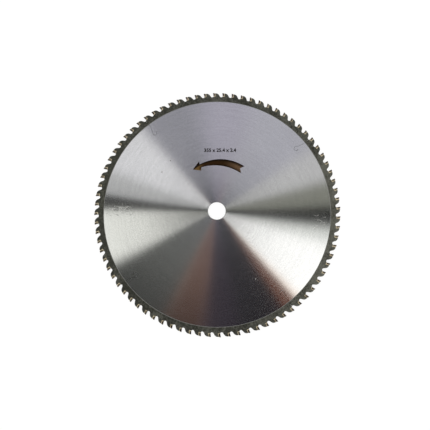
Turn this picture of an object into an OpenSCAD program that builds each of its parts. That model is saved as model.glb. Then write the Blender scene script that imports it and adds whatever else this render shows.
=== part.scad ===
// Carbide-tipped circular saw blade for dry cutting of steel.
// A toothed steel plate carries brazed carbide tips in a triple-chip pattern: chamfered
// trapezoid tips lead, and slightly lower flat tips follow.
// Millimetres. The bore's axis is Z, the origin is the bore's centre at half the plate's
// thickness, and the blade turns counter-clockwise as seen from +Z.

/* [Blade] */
// Cutting diameter over the trapezoid tips
blade_d = 355; // [320:1:400]
// Number of teeth, an even count so that the two kinds of tip alternate
tooth_count = 80; // [70:2:88]
// Thickness of the ground plate
plate_t = 2.0; // [1.6:0.05:2.1]
// Diameter of the arbor bore
bore_d = 25.4; // [16:0.1:40]
// Chamfer on both edges of the bore
bore_chamfer = 0.3; // [0.1:0.05:0.5]
// Angle of the first trapezoid tip's cutting edge, counter-clockwise from +X
first_tooth = 1.9; // [0:0.1:4.4]

/* [Blasted rim] */
// Width of the blasted band, from the cutting circle to the ground face
rim_w = 14.1; // [11:0.1:20]
// Depth of the band below the ground face, on each side
rim_relief = 0.05; // [0.02:0.01:0.1]
// Width of the bevel that leads from the ground face down to the band
edge_bevel = 0.3; // [0.1:0.05:0.6]

/* [Teeth] */
// Forward lean of the rake face
hook_angle = 8; // [4:0.5:10]
// Depth of the gullet below the cutting circle
gullet_depth = 6.9; // [6.5:0.1:7.6]
// Radius of the gullet floor
floor_rad = 2.2; // [1.9:0.1:2.4]
// How far the floor's centre lies ahead of the cutting edge
floor_lead = 1.35; // [1.2:0.05:1.6]
// Slope of the straight stretch that climbs from the gullet to the tooth's back
back_slope = 57; // [52:1:62]
// Radius of the tooth's rounded back
back_rad = 6; // [5:0.1:7]
// Angle at which the rounded back runs out onto the land
roll_over = 10; // [8:1:14]
// How far the steel land lies below the cutting circle
shoulder_drop = 0.8; // [0.7:0.05:1.1]

/* [Carbide tips] */
// Width of cut, over the tips' side edges
kerf = 2.4; // [2.35:0.05:2.8]
// Thickness of a tip, from its rake face to its back
tip_t = 2.2; // [1.8:0.1:2.6]
// Length of a tip along its rake face
tip_len = 5.0; // [4.6:0.1:5.4]
// How far the flat tips are ground below the trapezoid ones
flat_drop = 0.35; // [0.2:0.05:0.4]
// Height of the 45 degree corner chamfers on a trapezoid tip
corner_chamfer = 0.6; // [0.3:0.05:0.8]
// Clearance angle on top of a tip, behind its cutting edge
top_clearance = 8; // [5:0.5:8]
// Clearance angle on a tip's sides, towards its back
side_clearance = 2; // [1:0.25:2.5]
// Clearance angle on a tip's sides, towards the bore
radial_clearance = 0.75; // [0.5:0.25:1]

/* [Braze] */
// Thickness of the braze between a tip and its seat
braze_t = 0.15; // [0.1:0.01:0.2]
// Width of the braze fillet on the plate's sides
fillet_w = 1.1; // [0.6:0.1:1.3]
// How far the fillet stays below the tip's side where the two meet
fillet_shy = 0.02; // [0.01:0.01:0.05]
// How far the braze stays back from the gullet's wall
braze_setback = 0.1; // [0.05:0.05:0.3]

/* [Expansion slots] */
// Number of laser-cut slots that let the rim grow as it heats
slot_count = 4; // [2:1:8]
// Tooth whose gullet holds the first slot, counted from the first tooth
first_slot = 8; // [0:1:16]
// Width of the laser's cut
slot_w = 0.3; // [0.2:0.05:0.5]
// Radius of the slot's bowed run
bow_rad = 33; // [25:1:45]
// Angle that the bowed run turns through
bow_turn = 42; // [34:1:48]
// Angle between the bowed run and the gullet's radius where it starts
bow_start = 15; // [10:1:20]
// Radius of the hook at the slot's inner end
hook_rad = 3.1; // [2.4:0.1:3.6]
// Angle that the hook turns through
hook_turn = 230; // [180:5:250]
// Diameter of the pierced hole where the hook ends
pierce_d = 0.9; // [0.8:0.1:1.4]

/* [Hidden] */
$fn = 128;

cut_r = blade_d / 2;
pitch = 360 / tooth_count;
shoulder_r = cut_r - shoulder_drop;
ground_r = cut_r - rim_w;
rim_half = plate_t / 2 - rim_relief;
// What a cutter reaches past the surface that it cuts
past = 3;
// Share of a radius at which a straight stretch runs into an arc, so that the two cross cleanly
run_in = 0.995;
// The hook is cut a little wider than the run that leads into it, and starts a little early
hook_wider = 0.1;
hook_w = slot_w + hook_wider;
hook_early = 3;

// A point in the plane of the plate, for a tooth whose cutting edge lies on +X:
// along the rake face towards the bore, and behind that face
function on_face(along, behind) =
    [cut_r, 0]
    + along * [-cos(hook_angle), -sin(hook_angle)]
    + behind * [sin(hook_angle), -cos(hook_angle)];
function polar(r, a) = r * [cos(a), sin(a)];
// How far down the rake face a top edge lies that starts at along and clears by top_clearance
function top_back(along) = along + tip_t * tan(hook_angle + top_clearance);

seat_along = tip_len + braze_t;
seat_behind = tip_t + braze_t;
// Where the land meets a line that lies behind the rake face
function land_along(behind) =
    cut_r * cos(hook_angle) - sqrt(pow(shoulder_r, 2) - pow(behind + cut_r * sin(hook_angle), 2));

// How far a tip's side stands out from the rim at its back, where it is narrowest
tip_overhang = kerf / 2 - tip_t * tan(side_clearance) - tip_len * tan(radial_clearance) - rim_half;
fillet_h = tip_overhang - fillet_shy;

floor_c = [cut_r - gullet_depth + floor_rad, floor_lead];
climb_n = [-cos(back_slope), sin(back_slope)];
back_c_r = shoulder_r - back_rad * cos(roll_over);
back_c_a = acos(-(floor_rad + back_rad + climb_n * floor_c) / back_c_r) - back_slope;

module at_teeth(first, step) {
    for (i = [first : step : tooth_count - 1])
        rotate([0, 0, first_tooth + i * pitch]) children();
}

// The space between two teeth, with the step that seats the tip
module gullet_outline() {
    back_c = polar(back_c_r, back_c_a);
    difference() {
        polygon([
            on_face(-past, seat_behind),
            on_face(seat_along, seat_behind),
            on_face(seat_along, 0),
            floor_c,
            floor_c + run_in * floor_rad * climb_n,
            back_c - run_in * back_rad * climb_n,
            polar(back_c_r + run_in * back_rad, back_c_a),
            polar(cut_r + past, back_c_a)
        ]);
        translate(back_c) circle(back_rad);
    }
    translate(floor_c) circle(floor_rad);
}

module toothed_outline() {
    difference() {
        circle(shoulder_r);
        at_teeth(0, 1) gullet_outline();
    }
}

// The ground disc, bevelled at its edge and running on into the rim
module ground_disc() {
    rotate_extrude()
        polygon([
            [0, -plate_t / 2],
            [ground_r, -plate_t / 2],
            [ground_r + 2 * edge_bevel, 2 * rim_relief - plate_t / 2],
            [ground_r + 2 * edge_bevel, plate_t / 2 - 2 * rim_relief],
            [ground_r, plate_t / 2],
            [0, plate_t / 2]
        ]);
}

module arbor_bore() {
    cylinder(h = plate_t + 2 * past, d = bore_d, center = true);
    for (side = [0, 1])
        mirror([0, 0, side])
            translate([0, 0, plate_t / 2 - bore_chamfer])
                cylinder(
                    h = 2 * bore_chamfer,
                    d1 = bore_d,
                    d2 = bore_d + 4 * bore_chamfer
                );
}

// A bent slot of a given radius, from angle 0 on, about its own centre
module slot_arc(rad, width, turn) {
    rotate_extrude(angle = turn)
        translate([rad - width / 2, -plate_t / 2 - past])
            square([width, plate_t + 2 * past]);
}

// One slot: a bowed run from the gullet floor, then a hook that ends in a pierced hole
module expansion_slot() {
    translate([floor_c[0], floor_c[1], 0])
        rotate([0, 0, bow_start])
            translate([0, bow_rad, 0])
                rotate([0, 0, -90 - bow_turn]) {
                    slot_arc(bow_rad, slot_w, bow_turn);
                    translate([bow_rad + hook_rad, 0, 0])
                        rotate([0, 0, 180 - hook_early]) {
                            slot_arc(hook_rad, hook_w, hook_turn);
                            rotate([0, 0, hook_turn])
                                translate([hook_rad, 0, 0])
                                    cylinder(h = plate_t + 2 * past, d = pierce_d, center = true);
                        }
                }
}

module saw_plate() {
    color([0.72, 0.72, 0.74])
        difference() {
            union() {
                linear_extrude(2 * rim_half, center = true) toothed_outline();
                ground_disc();
            }
            arbor_bore();
            for (i = [0 : slot_count - 1])
                rotate([0, 0, first_tooth + (first_slot + round(i * tooth_count / slot_count)) * pitch])
                    expansion_slot();
        }
}

// What the grinding wheel takes off one side of a tip, so that only its front edge cuts
module side_clearance_cut(top_along) {
    reach = 4 * tip_len;
    edge = on_face(top_along, 0);
    translate([edge[0], edge[1], kerf / 2])
        rotate([side_clearance, -radial_clearance, 0])
            translate([-reach, -reach, 0])
                cube([2 * reach, 2 * reach, kerf]);
}

// The 45 degree chamfer on one corner of a trapezoid tip, with the top's own clearance
module corner_cut() {
    reach = 4 * tip_len;
    translate([cut_r, 0, kerf / 2 - corner_chamfer])
        rotate([0, 0, -top_clearance])
            rotate([0, -45, 0])
                translate([0, -reach, -reach])
                    cube([reach, 2 * reach, 2 * reach]);
}

// A tip whose cutting edge lies top_along down the rake face
module carbide_tip(top_along, chamfered) {
    difference() {
        linear_extrude(kerf, center = true)
            polygon([
                on_face(top_along, 0),
                on_face(tip_len, 0),
                on_face(tip_len, tip_t),
                on_face(top_back(top_along), tip_t)
            ]);
        for (side = [0, 1])
            mirror([0, 0, side]) {
                side_clearance_cut(top_along);
                if (chamfered) corner_cut();
            }
    }
}

module trapezoid_tips() {
    color([0.36, 0.35, 0.34]) at_teeth(0, 2) carbide_tip(0, true);
}

module flat_tips() {
    color([0.40, 0.39, 0.38]) at_teeth(1, 2) carbide_tip(flat_drop, false);
}

// The braze seen from the side: a band behind and below the tip, open towards the gullet
module braze_outline(width) {
    difference() {
        polygon([
            on_face(land_along(tip_t), tip_t),
            on_face(land_along(tip_t + width), tip_t + width),
            on_face(tip_len + width, tip_t + width),
            on_face(tip_len + width, 0),
            on_face(tip_len, 0),
            on_face(tip_len, tip_t)
        ]);
        translate(floor_c) circle(floor_rad + braze_setback);
    }
}

// The braze that has run out over one side of the plate, sloping away behind and below the tip
module braze_fillet() {
    reach = 4 * tip_len;
    corner = on_face(tip_len, tip_t);
    difference() {
        translate([0, 0, rim_half]) linear_extrude(fillet_h) braze_outline(fillet_w);
        for (turn = [0, -90])
            translate([corner[0], corner[1], rim_half + fillet_h])
                rotate([0, 0, hook_angle + turn])
                    rotate([atan(fillet_h / fillet_w), 0, 0])
                        translate([-reach, -reach, 0])
                            cube([2 * reach, 2 * reach, kerf]);
    }
}

module braze_joint() {
    linear_extrude(2 * rim_half, center = true) braze_outline(braze_t);
    for (side = [0, 1])
        mirror([0, 0, side]) braze_fillet();
}

module braze_joints() {
    color([0.66, 0.58, 0.42]) at_teeth(0, 1) braze_joint();
}

saw_plate();
trapezoid_tips();
flat_tips();
braze_joints();
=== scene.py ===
import math

import bmesh
import bpy
from mathutils import Matrix, Vector


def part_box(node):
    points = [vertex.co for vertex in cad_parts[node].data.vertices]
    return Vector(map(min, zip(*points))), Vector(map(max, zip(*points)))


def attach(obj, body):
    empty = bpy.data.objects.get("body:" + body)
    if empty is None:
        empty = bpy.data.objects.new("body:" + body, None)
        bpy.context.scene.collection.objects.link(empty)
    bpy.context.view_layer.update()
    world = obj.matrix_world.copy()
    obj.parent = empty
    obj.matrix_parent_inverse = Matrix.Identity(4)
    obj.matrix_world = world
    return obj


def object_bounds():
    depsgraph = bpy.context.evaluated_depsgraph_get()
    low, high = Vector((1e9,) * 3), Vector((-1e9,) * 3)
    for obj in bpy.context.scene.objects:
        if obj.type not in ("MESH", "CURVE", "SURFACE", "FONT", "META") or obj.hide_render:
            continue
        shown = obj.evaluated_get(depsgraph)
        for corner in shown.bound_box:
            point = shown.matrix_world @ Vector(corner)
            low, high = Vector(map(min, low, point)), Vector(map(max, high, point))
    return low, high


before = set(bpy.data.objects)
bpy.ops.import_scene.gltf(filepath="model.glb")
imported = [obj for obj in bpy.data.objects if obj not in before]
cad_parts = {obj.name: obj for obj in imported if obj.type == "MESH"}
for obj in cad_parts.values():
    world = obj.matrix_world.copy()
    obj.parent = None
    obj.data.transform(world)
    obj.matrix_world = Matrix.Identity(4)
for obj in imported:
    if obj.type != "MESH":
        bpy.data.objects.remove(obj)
cadLow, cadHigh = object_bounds()
mm = 0.001
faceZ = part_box("saw_plate")[1].z  # ground face that carries the marks
print("frame loaded, cutting radius", round(cadHigh.x / mm, 1), "mm")


# small helpers for node trees
def setInputs(tree, node, values):
    for key, value in values.items():
        if isinstance(value, bpy.types.NodeSocket):
            tree.links.new(value, node.inputs[key])
        else:
            node.inputs[key].default_value = value


def addNode(tree, kind, inputs=None, **settings):
    node = tree.nodes.new(kind)
    for name, value in settings.items():
        setattr(node, name, value)
    setInputs(tree, node, inputs or {})
    return node


def mathNode(tree, operation, first, second=0.0, third=0.0):
    inputs = {0: first, 1: second, 2: third}
    return addNode(tree, "ShaderNodeMath", inputs, operation=operation).outputs[0]


def vectorNode(tree, operation, first, second=None):
    inputs = {0: first}
    if second is not None:
        inputs["Scale" if operation == "SCALE" else 1] = second
    node = addNode(tree, "ShaderNodeVectorMath", inputs, operation=operation)
    return node.outputs["Value" if operation == "LENGTH" else "Vector"]


def combine(tree, x=0.0, y=0.0, z=0.0):
    return addNode(tree, "ShaderNodeCombineXYZ", {"X": x, "Y": y, "Z": z}).outputs[0]


def split(tree, vector):
    return addNode(tree, "ShaderNodeSeparateXYZ", {"Vector": vector}).outputs


def ramp(tree, value, start, end, low=0.0, high=1.0):
    inputs = {"Value": value, "From Min": start, "From Max": end, "To Min": low, "To Max": high}
    node = addNode(tree, "ShaderNodeMapRange", inputs, interpolation_type="SMOOTHSTEP")
    return node.outputs["Result"]


def mixValue(tree, factor, first, second):
    inputs = {0: factor, 2: first, 3: second}
    return addNode(tree, "ShaderNodeMix", inputs, data_type="FLOAT").outputs[0]


def mixColour(tree, factor, first, second):
    inputs = {0: factor}
    for index, colour in ((6, first), (7, second)):
        inputs[index] = colour if isinstance(colour, bpy.types.NodeSocket) else (*colour, 1.0)
    return addNode(tree, "ShaderNodeMix", inputs, data_type="RGBA").outputs[2]


def blend(tree, *parts):
    total = 0.0
    for value, share in parts:
        total = mathNode(tree, "MULTIPLY_ADD", value, share, total)
    return total


def spreadAbout(tree, middle, reach, value):
    return mathNode(tree, "MULTIPLY_ADD", value, reach, middle - reach / 2)


def noise(tree, vector, scale, detail=3.0, roughness=0.55):
    inputs = {"Vector": vector, "Scale": scale, "Detail": detail, "Roughness": roughness}
    return addNode(tree, "ShaderNodeTexNoise", inputs).outputs["Fac"]


def bump(tree, height, strength, distance):
    inputs = {"Height": height, "Strength": strength, "Distance": distance}
    return addNode(tree, "ShaderNodeBump", inputs).outputs["Normal"]


def newMaterial(name):
    material = bpy.data.materials.new(name)
    material.use_nodes = True
    tree = material.node_tree
    shader = tree.nodes["Principled BSDF"]
    place = addNode(tree, "ShaderNodeTexCoord").outputs["Object"]
    return material, tree, shader, place


def wear(node, material):
    for slot in node.material_slots:
        slot.material = material


# plate: faces ground in circles, a blasted rim outside them
plateFinish = {
    "groundRadius": 163.4 * mm,
    "groundSoft": 0.1 * mm,  # half the width of the change from face to rim
    "groundDark": (0.393, 0.393, 0.395),
    "groundLight": (0.507, 0.507, 0.507),
    "groundTones": (0.25, 0.75),
    "groundRoughness": 0.1235,
    "ringsPerMetre": 420.0,
    "arcScale": 3.0,  # higher breaks the rings into shorter arcs
    "speckleScale": 620.0,
    "blotchScale": 22.0,
    "rimDark": (0.0455, 0.0463, 0.0358),
    "rimLight": (0.163, 0.163, 0.137),
    "rimTones": (0.38, 0.66),
    "rimRoughness": 0.55,
    "rimMetal": 0.6,
    "rimPaintedLight": 0.42,  # painted light, per metre: the rim is paler towards +X
    "grainScale": 430.0,
    "patchScale": 38.0,
    "edgeRadius": 163.6 * mm,  # painted highlight: the bright line where the ground face breaks off
    "edgeLine": 0.5 * mm,
    "boreHighlightEdge": 13.1 * mm,  # the bore's chamfer ends here; a painted highlight covers the chamfer
    "boreSoft": 0.2 * mm,
    # colour of the painted highlight on the face's edge and the bore's chamfer
    "edgeHighlightColour": (0.21, 0.213, 0.20),
    "edgeRoughness": 0.45,
    "edgeMetal": 0.4,
}


def makePlateMaterial(finish):
    material, tree, shader, place = newMaterial("groundPlate")
    axes = split(tree, place)
    flat = combine(tree, axes["X"], axes["Y"])
    radius = vectorNode(tree, "LENGTH", flat)
    aim = split(tree, vectorNode(tree, "NORMALIZE", flat))

    # grinding marks: long arcs about the bore, thin across
    rings = mathNode(tree, "MULTIPLY", radius, finish["ringsPerMetre"])
    turns = [mathNode(tree, "MULTIPLY", aim[axis], finish["arcScale"]) for axis in "XY"]
    arcs = combine(tree, rings, *turns)
    fineMarks = noise(tree, arcs, 1.0, 4.0, 0.7)
    broadRings = noise(tree, arcs, 0.08, 2.0, 0.5)
    speckle = noise(tree, place, finish["speckleScale"], 2.0, 0.6)
    blotches = noise(tree, place, finish["blotchScale"], 3.0, 0.6)
    tone = blend(tree, (broadRings, 0.12), (fineMarks, 0.35), (speckle, 0.4), (blotches, 0.13))
    tone = ramp(tree, tone, *finish["groundTones"])
    groundColour = mixColour(tree, tone, finish["groundDark"], finish["groundLight"])

    # blasted rim: even dark grain with paler patches of wear, and painted light that makes it paler towards
    # +X
    grain = noise(tree, place, finish["grainScale"], 3.0, 0.7)
    patches = noise(tree, place, finish["patchScale"], 2.0, 0.5)
    # the X term is painted light, not wear: the rim is paler towards +X
    wearAndPaintedLight = blend(tree, (patches, 0.4), (grain, 0.6), (axes["X"], finish["rimPaintedLight"]))
    wearAndPaintedLight = ramp(tree, wearAndPaintedLight, *finish["rimTones"])
    rimColour = mixColour(tree, wearAndPaintedLight, finish["rimDark"], finish["rimLight"])

    # masks: ground face, and the painted highlight along the face's edge and in the bore's chamfer
    outer, soft = finish["groundRadius"], finish["groundSoft"]
    ground = ramp(tree, radius, outer + soft, outer - soft)
    offEdge = mathNode(tree, "ABSOLUTE", mathNode(tree, "SUBTRACT", radius, finish["edgeRadius"]))
    faceEdgeHighlight = ramp(tree, offEdge, finish["edgeLine"], finish["edgeLine"] * 0.3)
    boreHighlightEdge = ramp(tree, radius, finish["boreHighlightEdge"], finish["boreHighlightEdge"] - finish["boreSoft"])
    # edge carries the painted highlight of the face's edge and the bore's chamfer
    edge = mathNode(tree, "MAXIMUM", faceEdgeHighlight, boreHighlightEdge)

    colour = mixColour(tree, ground, rimColour, groundColour)
    # the painted highlight is mixed into the colour here
    colour = mixColour(tree, edge, colour, finish["edgeHighlightColour"])
    roughness = spreadAbout(tree, finish["groundRoughness"], 0.012, fineMarks)
    roughness = mixValue(tree, ground, finish["rimRoughness"], roughness)
    roughness = mixValue(tree, edge, roughness, finish["edgeRoughness"])
    metal = mixValue(tree, ground, finish["rimMetal"], 1.0)
    metal = mixValue(tree, edge, metal, finish["edgeMetal"])
    height = mixValue(tree, ground, grain, 0.5)  # the ground face stays smooth
    setInputs(tree, shader, {
        "Base Color": colour,
        "Roughness": roughness,
        "Metallic": metal,
        "Normal": bump(tree, height, 0.12, 0.02 * mm),
        "Tangent": addNode(tree, "ShaderNodeTangent", direction_type="RADIAL", axis="Z").outputs[0],
        "Anisotropic": 1.0,
        "Anisotropic Rotation": 0.25,  # marks run round, gloss spreads outwards
    })
    return material


wear(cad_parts["saw_plate"], makePlateMaterial(plateFinish))
print("plate finished")


# tips: dark sintered carbide, finely ground
carbideFinish = {
    "dark": (0.045, 0.036, 0.026),
    "light": (0.145, 0.122, 0.092),
    "tones": (0.3, 0.7),
    "roughness": 0.26,
    "grainScale": 3200.0,
    "shadeScale": 160.0,
}


def makeCarbideMaterial(finish):
    material, tree, shader, place = newMaterial("groundCarbide")
    grain = noise(tree, place, finish["grainScale"], 3.0, 0.6)
    shade = noise(tree, place, finish["shadeScale"], 1.0, 0.5)
    tone = ramp(tree, blend(tree, (shade, 0.6), (grain, 0.4)), *finish["tones"])
    setInputs(tree, shader, {
        "Base Color": mixColour(tree, tone, finish["dark"], finish["light"]),
        "Roughness": spreadAbout(tree, finish["roughness"], 0.12, grain),
        "Normal": bump(tree, grain, 0.08, 0.02 * mm),
        "Metallic": 1.0,
    })
    return material


carbide = makeCarbideMaterial(carbideFinish)
for nodeName in ("trapezoid_tips", "flat_tips"):
    wear(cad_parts[nodeName], carbide)
print("tips finished")


# braze: dull pale gold, clouded by flux
brazeFinish = {
    "dark": (0.34, 0.28, 0.18),
    "light": (0.72, 0.64, 0.47),
    "tones": (0.32, 0.68),
    "roughness": 0.36,
    "metal": 0.8,
    "cloudScale": 420.0,
    "grainScale": 2400.0,
}


def makeBrazeMaterial(finish):
    material, tree, shader, place = newMaterial("paleBraze")
    clouds = noise(tree, place, finish["cloudScale"], 3.0, 0.65)
    grain = noise(tree, place, finish["grainScale"], 2.0, 0.5)
    tone = ramp(tree, blend(tree, (clouds, 0.7), (grain, 0.3)), *finish["tones"])
    setInputs(tree, shader, {
        "Base Color": mixColour(tree, tone, finish["dark"], finish["light"]),
        "Roughness": spreadAbout(tree, finish["roughness"], 0.2, clouds),
        "Normal": bump(tree, clouds, 0.35, 0.08 * mm),
        "Metallic": finish["metal"],
    })
    return material


braze = makeBrazeMaterial(brazeFinish)
wear(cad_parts["braze_joints"], braze)
print("braze finished")


# marks: a direction arrow and plain size figures, burnt on by laser
def layOn(name, mesh, material):
    piece = bpy.data.objects.new(name, mesh)
    bpy.context.scene.collection.objects.link(piece)
    if not piece.data.materials:
        piece.data.materials.append(material)
    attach(piece, "root")


arrow = {
    "outerCentre": Vector((5.0, 13.4)) * mm,
    "outerRadius": 62.8 * mm,
    "innerCentre": Vector((-3.2, 0.3)) * mm,
    "innerRadius": 66.7 * mm,
    "outerEnds": (118.6, 56.0),  # degrees, from the head to the tail
    "innerEnds": (106.9, 55.1),
    "tip": Vector((-35.0, 60.8)) * mm,
    "outerBarb": Vector((-26.0, 73.0)) * mm,
    "innerBarb": Vector((-23.0, 59.2)) * mm,
    "headMarks": {"tip": (0.0, 0.86), "outerBarb": (0.12, 1.0), "innerBarb": (0.12, 0.14)},  # along, across
    "headShare": 0.2,  # of the way along, from the tip to the neck
    "notch": 0.066,  # depth of the tail's notch, as a share of the length
    "steps": 28,
    "rows": 6,
    "proud": 0.015 * mm,
    "sunk": 0.01 * mm,
}


def makeArrowMesh(a):
    built = bmesh.new()
    uv = built.loops.layers.uv.new("UVMap")
    high, low = faceZ + a["proud"], faceZ - a["sunk"]

    def edgePoint(side, share):
        start, end = a[side + "Ends"]
        angle = math.radians(start * (1 - share) + end * share)
        return a[side + "Centre"] + a[side + "Radius"] * Vector((math.cos(angle), math.sin(angle)))

    def spot(along, across):
        share = along * (1.0 - a["notch"] * (1.0 - abs(2.0 * across - 1.0)))
        return edgePoint("inner", share).lerp(edgePoint("outer", share), across)

    grid, marks = [], {}
    for i in range(a["steps"] + 1):
        line = []
        for j in range(a["rows"] + 1):
            along, across = i / a["steps"], j / a["rows"]
            point = built.verts.new((*spot(along, across), high))
            marks[point] = (a["headShare"] + (1.0 - a["headShare"]) * along, across)
            line.append(point)
        grid.append(line)
    for first, second in zip(grid, grid[1:]):
        for j in range(a["rows"]):
            built.faces.new((first[j], second[j], second[j + 1], first[j + 1]))
    neck = grid[0]
    head = {key: built.verts.new((*a[key], high)) for key in a["headMarks"]}
    marks.update({head[key]: mark for key, mark in a["headMarks"].items()})
    for inward, outward in zip(neck, neck[1:]):
        built.faces.new((head["tip"], inward, outward))
    built.faces.new((head["tip"], neck[-1], head["outerBarb"]))
    built.faces.new((head["tip"], head["innerBarb"], neck[0]))
    for face in built.faces:
        for loop in face.loops:
            loop[uv].uv = marks[loop.vert]
    lifted = bmesh.ops.extrude_face_region(built, geom=built.faces[:])  # the copy becomes the underside
    for item in lifted["geom"]:
        if isinstance(item, bmesh.types.BMVert):
            item.co.z = low
    bmesh.ops.recalc_face_normals(built, faces=built.faces[:])
    mesh = bpy.data.meshes.new("directionArrow")
    built.to_mesh(mesh)
    built.free()
    return mesh


burnFinish = {
    "edge": (0.008, 0.004, 0.002),
    "middle": (0.026, 0.012, 0.0038),
    "head": (0.135, 0.080, 0.028),
    "tail": (0.125, 0.075, 0.042),
    "headAlong": (0.3, 0.08),  # where each tone fades in, from the tip at 0 to the tail at 1
    "tailAlong": (0.62, 1.0),
    "palest": 0.44,  # line along the arrow that is burnt least, from the inner edge at 0
    "edgeTones": (0.48, 0.82),
    "streaks": (6.0, 26.0, 1.0),
    "roughness": 0.8,
    "shine": 0.05,
}


def makeBurnMaterial(finish):
    material, tree, shader, place = newMaterial("laserBurn")
    uv = addNode(tree, "ShaderNodeUVMap", uv_map="UVMap").outputs[0]
    axes = split(tree, uv)
    streaks = noise(tree, vectorNode(tree, "MULTIPLY", uv, finish["streaks"]), 1.0, 3.0, 0.6)
    tail = ramp(tree, axes["X"], *finish["tailAlong"])
    head = ramp(tree, axes["X"], *finish["headAlong"])
    colour = mixColour(tree, tail, finish["middle"], finish["tail"])
    colour = mixColour(tree, head, colour, finish["head"])
    offMiddle = mathNode(tree, "ABSOLUTE", mathNode(tree, "SUBTRACT", axes["Y"], finish["palest"]))
    edge = mathNode(tree, "MULTIPLY_ADD", streaks, 0.7, offMiddle)
    colour = mixColour(tree, ramp(tree, edge, *finish["edgeTones"]), colour, finish["edge"])
    setInputs(tree, shader, {
        "Base Color": colour,
        "Roughness": spreadAbout(tree, finish["roughness"], 0.2, streaks),
        "Normal": bump(tree, streaks, 0.2, 0.02 * mm),
        "Specular IOR Level": finish["shine"],
    })
    return material


layOn("directionArrow", makeArrowMesh(arrow), makeBurnMaterial(burnFinish))
print("arrow laid on")

figures = {
    "words": "355 x 25.4 x 2.4",
    "height": 7.2 * mm,
    "bold": 0.26 * mm,
    "middle": Vector((4.6, 87.2)) * mm,
    "proud": 0.015 * mm,
    "dark": (0.009, 0.007, 0.006),
    "light": (0.026, 0.023, 0.022),
    "tones": (0.35, 0.75),
    "cloudScale": 700.0,
    "roughness": 0.7,
    "shine": 0.05,
}


def plainMesh(holder):
    bpy.context.scene.collection.objects.link(holder)
    bpy.context.view_layer.update()
    return bpy.data.meshes.new_from_object(holder.evaluated_get(bpy.context.evaluated_depsgraph_get()))


def makeFigureMesh(f):
    curve = bpy.data.curves.new("sizeFigures", "FONT")
    curve.body = f["words"]
    curve.size = f["height"]
    curve.align_x = "CENTER"
    curve.extrude = f["proud"]
    curve.offset = f["bold"]
    curve.resolution_u = 3
    holder = bpy.data.objects.new("sizeFigures", curve)
    mesh = plainMesh(holder)
    bpy.data.objects.remove(holder)
    bpy.data.curves.remove(curve)
    mesh.transform(Matrix.Translation((*f["middle"], faceZ)))
    return mesh


def makeFigureMaterial(f):
    material, tree, shader, place = newMaterial("faintBurn")
    clouds = noise(tree, place, f["cloudScale"], 3.0, 0.6)
    setInputs(tree, shader, {
        "Base Color": mixColour(tree, ramp(tree, clouds, *f["tones"]), f["dark"], f["light"]),
        "Roughness": spreadAbout(tree, f["roughness"], 0.2, clouds),
        "Specular IOR Level": f["shine"],
    })
    return material


layOn("sizeFigures", makeFigureMesh(figures), makeFigureMaterial(figures))
print("figures laid on")


# wear: small stains on the ground face and two patches of fine scratches
stains = {
    "dark": [(-68, 74.1, 1.0), (-80, 57.1, 1.0)],  # x, y, radius in millimetres
    "light": [(55, -97, 0.7)],
    "proud": 0.008 * mm,
    "taper": 0.7,
    "darkTone": (0.265, 0.262, 0.245),
    "lightTone": (0.80, 0.80, 0.79),
}


def makeSpotMesh(name, spots, proud, taper):
    built = bmesh.new()
    for x, y, radius in spots:
        bmesh.ops.create_cone(
            built,
            cap_ends=True,
            segments=12,
            radius1=radius * mm,
            radius2=radius * mm * taper,
            depth=2 * proud,
            matrix=Matrix.Translation((x * mm, y * mm, faceZ)),
        )
    mesh = bpy.data.meshes.new(name)
    built.to_mesh(mesh)
    built.free()
    return mesh


def makeCloudMaterial(name, tone, metal, roughness, scale=900.0, shade=0.7):
    material, tree, shader, place = newMaterial(name)
    clouds = noise(tree, place, scale, 2.0, 0.5)
    darker = tuple(part * shade for part in tone)
    setInputs(tree, shader, {
        "Base Color": mixColour(tree, ramp(tree, clouds, 0.3, 0.7), darker, tone),
        "Roughness": spreadAbout(tree, roughness, 0.1, clouds),
        "Metallic": metal,
    })
    return material


for shade in ("dark", "light"):
    spotMesh = makeSpotMesh(shade + "Stains", stains[shade], stains["proud"], stains["taper"])
    layOn(shade + "Stains", spotMesh, makeCloudMaterial(shade + "Stain", stains[shade + "Tone"], 0.6, 0.45))
print("stains laid on")


# small helpers for geometry trees
socketKinds = {float: "NodeSocketFloat", int: "NodeSocketInt", Vector: "NodeSocketVector"}


def newGeometryTree(name, values):
    tree = bpy.data.node_groups.new(name, "GeometryNodeTree")
    sockets = {}
    for key, value in values.items():
        kind = socketKinds[type(value)]
        sockets[key] = tree.interface.new_socket(key, in_out="INPUT", socket_type=kind)
    tree.interface.new_socket("Geometry", in_out="OUTPUT", socket_type="NodeSocketGeometry")
    given = tree.nodes.new("NodeGroupInput").outputs
    return tree, sockets, given


def closeGeometryTree(tree, instances, material):
    real = addNode(tree, "GeometryNodeRealizeInstances", {"Geometry": instances}).outputs[0]
    inputs = {"Geometry": real, "Material": material}
    dressed = addNode(tree, "GeometryNodeSetMaterial", inputs).outputs[0]
    addNode(tree, "NodeGroupOutput", {"Geometry": dressed})


def runGeometryTree(name, tree, sockets, values):
    holder = bpy.data.objects.new(name, bpy.data.meshes.new(name))
    modifier = holder.modifiers.new("build", "NODES")
    modifier.node_group = tree
    for key, value in values.items():
        modifier[sockets[key].identifier] = value
    mesh = plainMesh(holder)
    holder.modifiers.remove(modifier)
    bpy.data.objects.remove(holder)
    mesh.name = name
    return mesh


def randomVector(tree, low, high, seed):
    inputs = {0: low, 1: high, "Seed": seed}
    return addNode(tree, "FunctionNodeRandomValue", inputs, data_type="FLOAT_VECTOR").outputs[0]


def randomFloat(tree, low, high, seed):
    inputs = {2: low, 3: high, "Seed": seed}
    return addNode(tree, "FunctionNodeRandomValue", inputs, data_type="FLOAT").outputs[1]


def turnAboutZ(tree, angle):
    return addNode(tree, "FunctionNodeEulerToRotation", {0: combine(tree, z=angle)}).outputs[0]


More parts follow.
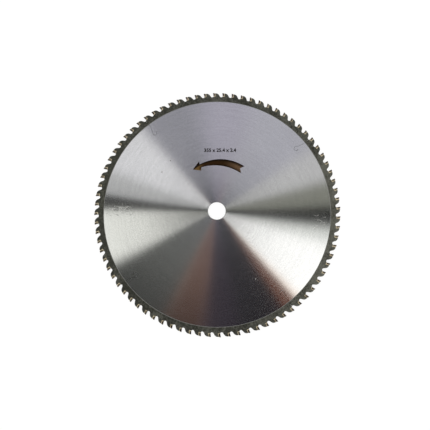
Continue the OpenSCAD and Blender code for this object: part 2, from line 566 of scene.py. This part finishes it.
leftScratches = {
    "Count": 36,
    "Seed": 5,
    "Length": 11.0 * mm,
    "Width": 0.36 * mm,
    "Proud": 0.012 * mm,
    "Low": Vector((-157.0, -7.0, 1.0)) * mm,
    "High": Vector((-124.0, 7.0, 1.0)) * mm,
    "LeanLow": -0.65,  # radians off the X axis
    "LeanHigh": -0.10,
    "StretchLow": 0.3,
    "StretchHigh": 1.3,
}
rightScratches = {
    "Count": 12,
    "Seed": 9,
    "Length": 6.0 * mm,
    "Width": 0.26 * mm,
    "Proud": 0.012 * mm,
    "Low": Vector((140.0, -26.0, 1.0)) * mm,
    "High": Vector((155.0, -4.0, 1.0)) * mm,
    "LeanLow": -0.9,
    "LeanHigh": 0.5,
    "StretchLow": 0.3,
    "StretchHigh": 1.3,
}


def makeScratchMesh(name, values, material):
    tree, sockets, given = newGeometryTree("scratchPatch", values)
    place = randomVector(tree, given["Low"], given["High"], given["Seed"])
    inputs = {"Count": given["Count"], "Position": place}
    points = addNode(tree, "GeometryNodePoints", inputs).outputs[0]
    size = combine(tree, given["Length"], given["Width"], given["Proud"])
    sliver = addNode(tree, "GeometryNodeMeshCube", {"Size": size}).outputs["Mesh"]
    leanSeed, stretchSeed = [mathNode(tree, "ADD", given["Seed"], step) for step in (1.0, 2.0)]
    lean = randomFloat(tree, given["LeanLow"], given["LeanHigh"], leanSeed)
    stretch = randomFloat(tree, given["StretchLow"], given["StretchHigh"], stretchSeed)
    inputs = {
        "Points": points,
        "Instance": sliver,
        "Rotation": turnAboutZ(tree, lean),
        "Scale": combine(tree, stretch, 1.0, 1.0),
    }
    closeGeometryTree(tree, addNode(tree, "GeometryNodeInstanceOnPoints", inputs).outputs[0], material)
    return runGeometryTree(name, tree, sockets, values)


scratchMaterial = makeCloudMaterial("freshScratch", (0.80, 0.80, 0.77), 0.9, 0.40, 320.0, 0.2)
for patchName, patch in {"fineScratches": leftScratches, "rightScratches": rightScratches}.items():
    layOn(patchName, makeScratchMesh(patchName, patch, scratchMaterial), scratchMaterial)
print("scratches laid on")

# beads: small uneven drops of braze behind each tip, on both sides
beads = {
    "Teeth": 80,
    "First": math.radians(1.9),
    "Size": 0.42 * mm,
    "Height": 0.93 * mm,
    "Flatness": 0.32,
    "Scatter": 0.16 * mm,
    "StretchLow": Vector((0.6, 0.6, 0.8)),
    "StretchHigh": Vector((1.5, 1.5, 1.1)),
    "Seed": 11,
}
beadRows = {172.8: 3.4, 174.1: 3.2, 175.3: 3.0}  # radius and distance behind the cutting edge, millimetres


def makeBeadMesh(values, rows, material):
    tree, sockets, given = newGeometryTree("brazeBeads", values)
    joined = addNode(tree, "GeometryNodeJoinGeometry")
    inputs = {"Radius": given["Size"], "Subdivisions": 2}
    drop = addNode(tree, "GeometryNodeMeshIcoSphere", inputs).outputs["Mesh"]
    scatterLow = mathNode(tree, "MULTIPLY", given["Scatter"], -1.0)
    reach = [combine(tree, part, part) for part in (scatterLow, given["Scatter"])]
    flat = combine(tree, 1.0, 1.0, given["Flatness"])
    for row, (radius, behind) in enumerate(rows.items()):
        inputs = {"Vertices": given["Teeth"], "Radius": radius * mm}
        ring = addNode(tree, "GeometryNodeMeshCircle", inputs).outputs[0]
        turned = turnAboutZ(tree, mathNode(tree, "SUBTRACT", given["First"], behind / radius))
        for side in (-1.0, 1.0):
            lift = combine(tree, z=mathNode(tree, "MULTIPLY", given["Height"], side))
            inputs = {"Geometry": ring, "Rotation": turned, "Translation": lift}
            placed = addNode(tree, "GeometryNodeTransform", inputs).outputs[0]
            seed = mathNode(tree, "ADD", given["Seed"], row * 10.0 + side)
            inputs = {"Geometry": placed, "Offset": randomVector(tree, *reach, seed)}
            moved = addNode(tree, "GeometryNodeSetPosition", inputs).outputs[0]
            stretchSeed = mathNode(tree, "ADD", seed, 3.0)
            stretch = randomVector(tree, given["StretchLow"], given["StretchHigh"], stretchSeed)
            scale = vectorNode(tree, "MULTIPLY", stretch, flat)
            inputs = {"Points": moved, "Instance": drop, "Scale": scale}
            drops = addNode(tree, "GeometryNodeInstanceOnPoints", inputs).outputs[0]
            tree.links.new(drops, joined.inputs[0])
    closeGeometryTree(tree, joined.outputs[0], material)
    return runGeometryTree("brazeBeads", tree, sockets, values)


layOn("brazeBeads", makeBeadMesh(beads, beadRows, braze), braze)
print("beads set")


# stage: pale floor under the blade
floorLook = {
    "size": 40.0,
    "tone": (0.80, 0.80, 0.80),
    "glow": 0.80,  # share of white that the camera sees whatever the light
    "white": 1.11,
    "shaded": (13.0 * mm, 169.3 * mm),  # hidden under the plate, so no light gets there
}


def makeFloor(look):
    mesh = bpy.data.meshes.new("floor")
    half = look["size"] / 2
    corners = [(x, y, cadLow.z) for x, y in ((-half, -half), (half, -half), (half, half), (-half, half))]
    mesh.from_pydata(corners, [], [(0, 1, 2, 3)])
    floor = bpy.data.objects.new("floor", mesh)
    bpy.context.scene.collection.objects.link(floor)
    material = bpy.data.materials.new("paleFloor")
    material.use_nodes = True
    tree = material.node_tree
    tree.nodes.clear()
    path = addNode(tree, "ShaderNodeLightPath").outputs
    seen = mathNode(tree, "MAXIMUM", path["Is Camera Ray"], path["Is Glossy Ray"])
    seen = mathNode(tree, "MAXIMUM", seen, path["Is Transmission Ray"])
    matte = addNode(tree, "ShaderNodeBsdfDiffuse", {"Color": (*look["tone"], 1.0)})
    white = addNode(tree, "ShaderNodeEmission", {"Color": (1, 1, 1, 1), "Strength": look["white"]})
    offAxis = vectorNode(tree, "LENGTH", addNode(tree, "ShaderNodeTexCoord").outputs["Object"])
    inner, outer = look["shaded"]
    inBore, outside = ramp(tree, offAxis, inner + mm, inner), ramp(tree, offAxis, outer - mm, outer)
    share = mathNode(tree, "MULTIPLY", seen, look["glow"])
    share = mathNode(tree, "MULTIPLY", share, mathNode(tree, "MAXIMUM", inBore, outside))
    inputs = {0: share, 1: matte.outputs[0], 2: white.outputs[0]}
    mixed = addNode(tree, "ShaderNodeMixShader", inputs)
    addNode(tree, "ShaderNodeOutputMaterial", {"Surface": mixed.outputs[0]})
    material.cycles.emission_sampling = "NONE"  # the glow is only seen, so no light is looked for there
    mesh.materials.append(material)


makeFloor(floorLook)
print("floor laid")

# camera: nearly straight above, leaning a little towards the picture's lower edge
camera = {
    "tilt": 7.48,  # degrees off the blade's axis
    "turn": 7.4,  # degrees that the lean is turned about the axis
    "distance": 644.0 * mm,
    "lens": 37.38,
    "shift": (-0.0042, -0.0095),
}


def makeCamera(c):
    tilt, turn = math.radians(c["tilt"]), math.radians(c["turn"])
    side = Vector((math.cos(turn), math.sin(turn), 0))
    ahead = Vector((-math.sin(turn), math.cos(turn), 0))
    axis = Vector((0, 0, 1))
    back = math.cos(tilt) * axis - math.sin(tilt) * ahead
    rise = math.cos(tilt) * ahead + math.sin(tilt) * axis
    right = math.cos(turn) * side - math.sin(turn) * rise
    up = math.sin(turn) * side + math.cos(turn) * rise
    data = bpy.data.cameras.new("camera")
    data.lens = c["lens"]
    data.sensor_width = 36.0
    data.shift_x, data.shift_y = c["shift"]
    data.clip_start, data.clip_end = 0.01, 100.0
    holder = bpy.data.objects.new("camera", data)
    bpy.context.scene.collection.objects.link(holder)
    turned = Matrix((right, up, back)).transposed().to_4x4()
    holder.matrix_world = Matrix.Translation(back * c["distance"]) @ turned
    bpy.context.scene.camera = holder
    return back


cameraAim = makeCamera(camera)
bpy.context.scene.view_settings.view_transform = "Standard"
print("camera set")

# studio: soft panels round the direction that the plate's middle mirrors, which itself stays dark
# each panel: where it starts and ends in degrees, softness of both edges, light
backPanels = {
    "farRight": (1.5, 14.3, 6.0, 8.0, (0.43, 0.44, 0.37)),
    "rightRidge": (14.3, 32.0, 8.0, 10.0, (1.09, 1.09, 1.09)),
    "backRight": (32.0, 70.0, 10.0, 24.0, (0.905, 0.905, 1.00)),
    "backMiddle": (70.0, 100.0, 24.0, 24.0, (0.845, 0.82, 0.955)),
    "back": (100.0, 132.8, 24.0, 9.5, (0.60, 0.60, 0.67)),
    "backLeft": (132.8, 160.0, 9.5, 8.0, (1.46, 1.46, 1.49)),
    "backLeftEnd": (160.0, 172.6, 8.0, 0.6, (0.955, 0.965, 0.96)),
}
leftPanels = {
    "left": (180.3, 207.8, 3.2, 8.0, (1.75, 1.765, 1.645)),
}
lowPanels = {
    "lowLeft": (207.8, 244.6, 8.0, 12.0, (0.296, 0.307, 0.28)),
    "warmCorner": (243.0, 263.8, 6.0, 9.0, (0.405, 0.235, 0.175)),
}
rightPanels = {
    "dimLeft": (262.0, 281.0, 8.0, 10.0, (0.055, 0.044, 0.060)),
    "dim": (281.0, 304.6, 10.0, 4.0, (0.034, 0.031, 0.036)),
    "rightWarm": (304.6, 311.8, 4.0, 0.5, (0.24, 0.075, 0.035)),
    "rightStart": (311.8, 314.4, 0.5, 3.0, (2.33, 2.04, 1.78)),
    "right": (314.4, 343.0, 3.0, 10.0, (2.40, 2.40, 2.335)),
    "rightEnd": (343.0, 350.9, 10.0, 8.0, (1.47, 1.51, 1.43)),
}
studio = {
    "backOverhead": (0.023, 0.056),  # how far off the mirrored direction the panels begin
    "backFade": (0.31, 0.51),  # and end
    "leftOverhead": (0.026, 0.168),
    "leftFade": (0.66, 1.05),
    "lowOverhead": (0.02, 0.04),
    "lowFade": (0.044, 0.372),
    "rightOverhead": (0.042, 0.071),
    "rightFade": (0.57, 0.967),
    "fill": (1.2, 1.2, 1.18),  # soft light all round
    "fillTop": (0.75, 0.60),  # heights, as the sine of the angle above the floor
}


def makeStudio(look, groups):
    world = bpy.data.worlds.new("studio")
    bpy.context.scene.world = world
    world.use_nodes = True
    tree = world.node_tree
    tree.nodes.clear()
    aim = addNode(tree, "ShaderNodeTexCoord").outputs["Generated"]
    mirrored = vectorNode(tree, "ADD", aim, cameraAim)
    mirrored = vectorNode(tree, "MULTIPLY", mirrored, (1, 1, 0))
    axes = split(tree, mirrored)
    offAxis = vectorNode(tree, "LENGTH", mirrored)
    bearing = mathNode(tree, "ARCTAN2", axes["Y"], axes["X"])
    total = (0, 0, 0)
    for group, lights in groups.items():
        ring = ramp(tree, offAxis, *look[group + "Overhead"])
        ring = mathNode(tree, "MULTIPLY", ring, ramp(tree, offAxis, *look[group + "Fade"], 1.0, 0.0))
        for start, end, softStart, softEnd, light in lights.values():
            middle, half = math.radians(start + end) / 2, math.radians(end - start) / 2
            softStart, softEnd = math.radians(softStart) / 2, math.radians(softEnd) / 2
            offset = mathNode(tree, "SUBTRACT", bearing, middle)
            offset = mathNode(tree, "WRAP", offset, math.pi, -math.pi)
            begun = ramp(tree, offset, -half - softStart, -half + softStart)
            unended = ramp(tree, offset, half + softEnd, half - softEnd)
            share = mathNode(tree, "MULTIPLY", begun, unended)
            share = mathNode(tree, "MULTIPLY", share, ring)
            total = vectorNode(tree, "ADD", total, vectorNode(tree, "SCALE", light, share))
    height = split(tree, aim)["Z"]
    fill = vectorNode(tree, "SCALE", look["fill"], ramp(tree, height, *look["fillTop"]))
    total = vectorNode(tree, "ADD", total, fill)
    back = addNode(tree, "ShaderNodeBackground", {"Color": total})
    addNode(tree, "ShaderNodeOutputWorld", {"Surface": back.outputs[0]})


makeStudio(studio, {"back": backPanels, "left": leftPanels, "low": lowPanels, "right": rightPanels})
print("studio lit")
